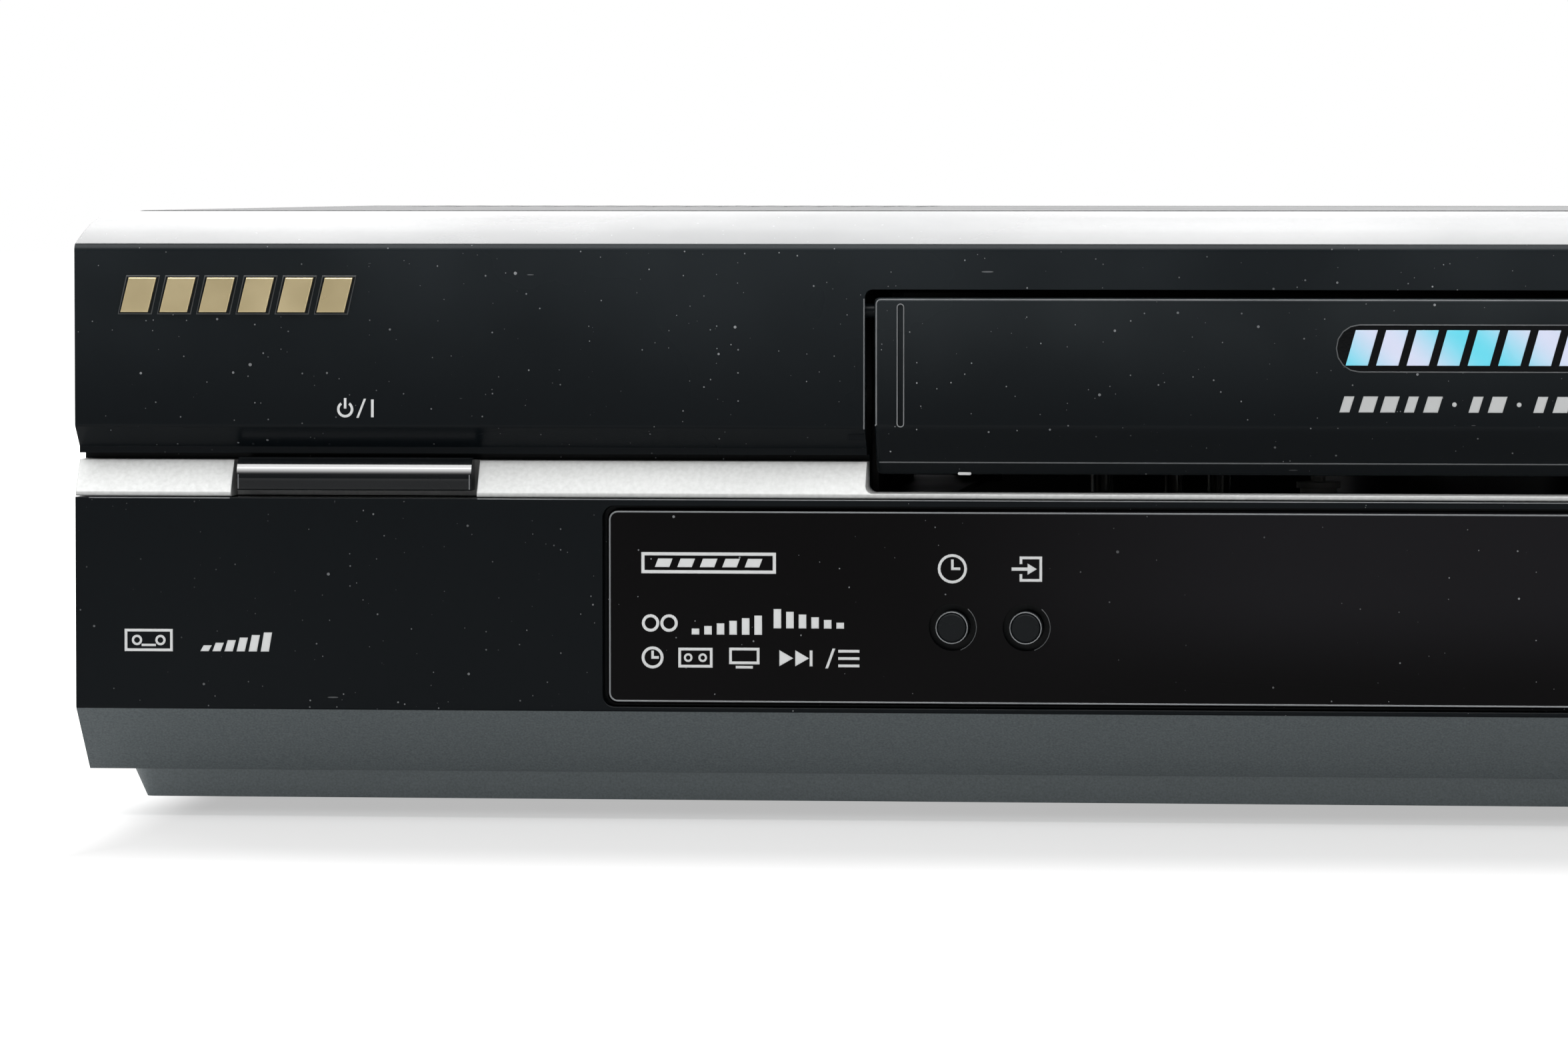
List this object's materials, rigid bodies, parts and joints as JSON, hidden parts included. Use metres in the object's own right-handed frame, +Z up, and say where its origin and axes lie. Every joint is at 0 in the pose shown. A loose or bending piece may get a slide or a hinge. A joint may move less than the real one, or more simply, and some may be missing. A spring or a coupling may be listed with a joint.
{
  "type": "vhs video cassette recorder",
  "caption": "Slim black front-loading video cassette recorder with a silver groove strip, sprung cassette door, push buttons, dark display window, vented cover and a working tape deck inside",
  "frame": {"origin": "centre of the footprint, at the height of the feet's undersides", "axes": "+X to the right seen from the front, +Y towards the back, +Z up"},
  "size_m": [0.43, 0.285, 0.0925],
  "materials": {
    "front": "satin black moulded plastic with a very fine grain",
    "trim": "light silver satin paint",
    "window": "dark smoked acrylic",
    "button_black": "black satin moulded plastic",
    "cabinet": "black textured paint on steel sheet",
    "base": "dark grey moulded plastic",
    "feet": "soft black rubber",
    "zinc": "zinc plated steel sheet",
    "black_screw": "blackened steel",
    "chrome": "plated, polished",
    "alloy": "machined and polished alloy",
    "board": "brown paper laminate circuit board",
    "green_board": "green lacquered circuit board",
    "display": "glass vacuum tube with dark filter",
    "moulding_dark": "black glass filled moulding",
    "moulding_white": "white acetal moulding",
    "rubber": "black rubber tyre",
    "core": "varnished steel laminations",
    "spring": "spring steel wire",
    "brass": "sintered bronze"
  },
  "bodies": {
    "case": {"front_panel": "front", "groove_trim": "trim", "display_window": "window", "base_chassis": "base", "rubber_feet": "feet", "rear_panel": "zinc", "top_cover": "cabinet", "cover_screws": "black_screw", "front_board": "board", "tact_switches": "moulding_dark", "display_tube": "display", "deck_chassis": "zinc", "left_bracket": "zinc", "right_bracket": "zinc", "capstan_bearing": "brass", "capstan_stator": "zinc", "lower_drum": "alloy", "drum_motor": "alloy", "erase_head": "chrome", "audio_head": "chrome", "guide_posts": "chrome", "loading_motor": "moulding_dark", "main_board": "green_board", "power_board": "board", "transformer": "core", "heat_sink": "alloy", "capacitors": "moulding_dark", "tuner_can": "zinc", "scart_sockets": "moulding_dark", "phono_jacks": "moulding_dark", "mains_inlet": "moulding_dark", "door_spring": "spring"},
    "door": {"cassette_door": "front"},
    "power": {"power_button": "button_black"},
    "eject": {"eject_button": "button_black"},
    "timer": {"timer_button": "button_black"},
    "input": {"input_button": "button_black"},
    "channel_down": {"channel_down_button": "button_black"},
    "channel_up": {"channel_up_button": "button_black"},
    "rewind": {"rewind_button": "button_black"},
    "play": {"play_button": "button_black"},
    "forward": {"forward_button": "button_black"},
    "record": {"record_button": "button_black"},
    "stop": {"stop_button": "button_black"},
    "pause": {"pause_button": "button_black"},
    "slider": {"carriage_slider": "zinc"},
    "holder": {"cassette_holder": "zinc"},
    "supply_reel": {"supply_reel": "moulding_dark"},
    "takeup_reel": {"takeup_reel": "moulding_dark"},
    "idler_arm": {"idler_arm": "zinc"},
    "idler_wheel": {"idler_wheel": "moulding_white"},
    "capstan": {"capstan": "zinc"},
    "pinch_arm": {"pinch_arm": "zinc"},
    "pinch_roller": {"pinch_roller": "rubber"},
    "tension_arm": {"tension_arm": "zinc"},
    "supply_guide": {"supply_guide": "moulding_white"},
    "takeup_guide": {"takeup_guide": "moulding_white"},
    "drum": {"upper_drum": "alloy"},
    "worm": {"worm": "moulding_white"},
    "cam": {"cam_gear": "moulding_white"}
  },
  "joints": [
    {"name": "door_swing", "type": "hinge", "parent": "case", "child": "door", "pos_m": [0, -0.139, 0.0776], "axis": [1, 0, 0], "range_deg": [0, 88], "stiffness_Nm_per_rad": 0.02, "springref_deg": -20.05},
    {"name": "power_press", "type": "slide", "parent": "case", "child": "power", "axis": [0, 1, 0], "range_m": [0, 0.0015], "stiffness_N_per_m": 900, "springref_m": -0.0006},
    {"name": "eject_press", "type": "slide", "parent": "case", "child": "eject", "axis": [0, 1, 0], "range_m": [0, 0.0015], "stiffness_N_per_m": 900, "springref_m": -0.0006},
    {"name": "timer_press", "type": "slide", "parent": "case", "child": "timer", "axis": [0, 1, 0], "range_m": [0, 0.0008], "stiffness_N_per_m": 900, "springref_m": -0.0006},
    {"name": "input_press", "type": "slide", "parent": "case", "child": "input", "axis": [0, 1, 0], "range_m": [0, 0.0008], "stiffness_N_per_m": 900, "springref_m": -0.0006},
    {"name": "channel_down_press", "type": "slide", "parent": "case", "child": "channel_down", "axis": [0, 1, 0], "range_m": [0, 0.0008], "stiffness_N_per_m": 900, "springref_m": -0.0006},
    {"name": "channel_up_press", "type": "slide", "parent": "case", "child": "channel_up", "axis": [0, 1, 0], "range_m": [0, 0.0008], "stiffness_N_per_m": 900, "springref_m": -0.0006},
    {"name": "rewind_press", "type": "slide", "parent": "case", "child": "rewind", "axis": [0, 1, 0], "range_m": [0, 0.0008], "stiffness_N_per_m": 900, "springref_m": -0.0006},
    {"name": "play_press", "type": "slide", "parent": "case", "child": "play", "axis": [0, 1, 0], "range_m": [0, 0.0008], "stiffness_N_per_m": 900, "springref_m": -0.0006},
    {"name": "forward_press", "type": "slide", "parent": "case", "child": "forward", "axis": [0, 1, 0], "range_m": [0, 0.0008], "stiffness_N_per_m": 900, "springref_m": -0.0006},
    {"name": "record_press", "type": "slide", "parent": "case", "child": "record", "axis": [0, 1, 0], "range_m": [0, 0.0008], "stiffness_N_per_m": 900, "springref_m": -0.0006},
    {"name": "stop_press", "type": "slide", "parent": "case", "child": "stop", "axis": [0, 1, 0], "range_m": [0, 0.0008], "stiffness_N_per_m": 900, "springref_m": -0.0006},
    {"name": "pause_press", "type": "slide", "parent": "case", "child": "pause", "axis": [0, 1, 0], "range_m": [0, 0.0008], "stiffness_N_per_m": 900, "springref_m": -0.0006},
    {"name": "slider_travel", "type": "slide", "parent": "case", "child": "slider", "axis": [0, 1, 0], "range_m": [0, 0.042]},
    {"name": "holder_drop", "type": "slide", "parent": "slider", "child": "holder", "axis": [0, 0, -1], "range_m": [0, 0.022]},
    {"name": "supply_spin", "type": "hinge", "parent": "case", "child": "supply_reel", "pos_m": [-0.04625, -0.0697, 0.03], "axis": [0, 0, 1], "continuous": true},
    {"name": "takeup_spin", "type": "hinge", "parent": "case", "child": "takeup_reel", "pos_m": [0.04625, -0.0697, 0.03], "axis": [0, 0, 1], "continuous": true},
    {"name": "idler_swing", "type": "hinge", "parent": "case", "child": "idler_arm", "pos_m": [0, -0.0957, 0.025], "axis": [0, 0, 1], "range_deg": [-27, 27]},
    {"name": "idler_spin", "type": "hinge", "parent": "idler_arm", "child": "idler_wheel", "pos_m": [0, -0.0697, 0.027], "axis": [0, 0, 1], "continuous": true},
    {"name": "capstan_spin", "type": "hinge", "parent": "case", "child": "capstan", "pos_m": [0.062, -0.0082, 0.03], "axis": [0, 0, 1], "continuous": true},
    {"name": "drum_spin", "type": "hinge", "parent": "case", "child": "drum", "pos_m": [0, 0.0268, 0.028], "axis": [-0.104, 0, 0.9946], "continuous": true},
    {"name": "cam_turn", "type": "hinge", "parent": "case", "child": "cam", "pos_m": [-0.074, 0.0448, 0.034], "axis": [0, 0, 1], "range_deg": [0, 170]},
    {"name": "worm_turn", "type": "hinge", "parent": "case", "child": "worm", "pos_m": [-0.0978, 0.0448, 0.0345], "axis": [0, 1, 0], "range_deg": [0, 6801]},
    {"name": "pinch_swing", "type": "hinge", "parent": "case", "child": "pinch_arm", "pos_m": [0.092, 0.0048, 0.03], "axis": [0, 0, 1], "range_deg": [0, 36]},
    {"name": "pinch_spin", "type": "hinge", "parent": "pinch_arm", "child": "pinch_roller", "pos_m": [0.06824, 0.0101, 0.04], "axis": [0, 0, 1], "continuous": true},
    {"name": "tension_swing", "type": "hinge", "parent": "case", "child": "tension_arm", "pos_m": [-0.082, -0.0072, 0.025], "axis": [0, 0, 1], "range_deg": [0, 20]},
    {"name": "supply_guide_slide", "type": "slide", "parent": "case", "child": "supply_guide", "axis": [-0.1991, 0.98, 0], "range_m": [0, 0.0653]},
    {"name": "takeup_guide_slide", "type": "slide", "parent": "case", "child": "takeup_guide", "axis": [0.1991, 0.98, 0], "range_m": [0, 0.0653]}
  ],
  "couplings": [
    {"joint": "worm_turn", "follows": "cam_turn", "ratio": 40},
    {"joint": "pinch_swing", "follows": "cam_turn", "ratio": 0.2117},
    {"joint": "tension_swing", "follows": "cam_turn", "ratio": 0.1176},
    {"joint": "supply_guide_slide", "follows": "cam_turn", "m_per_rad": 0.022},
    {"joint": "takeup_guide_slide", "follows": "cam_turn", "m_per_rad": 0.022}
  ]
}
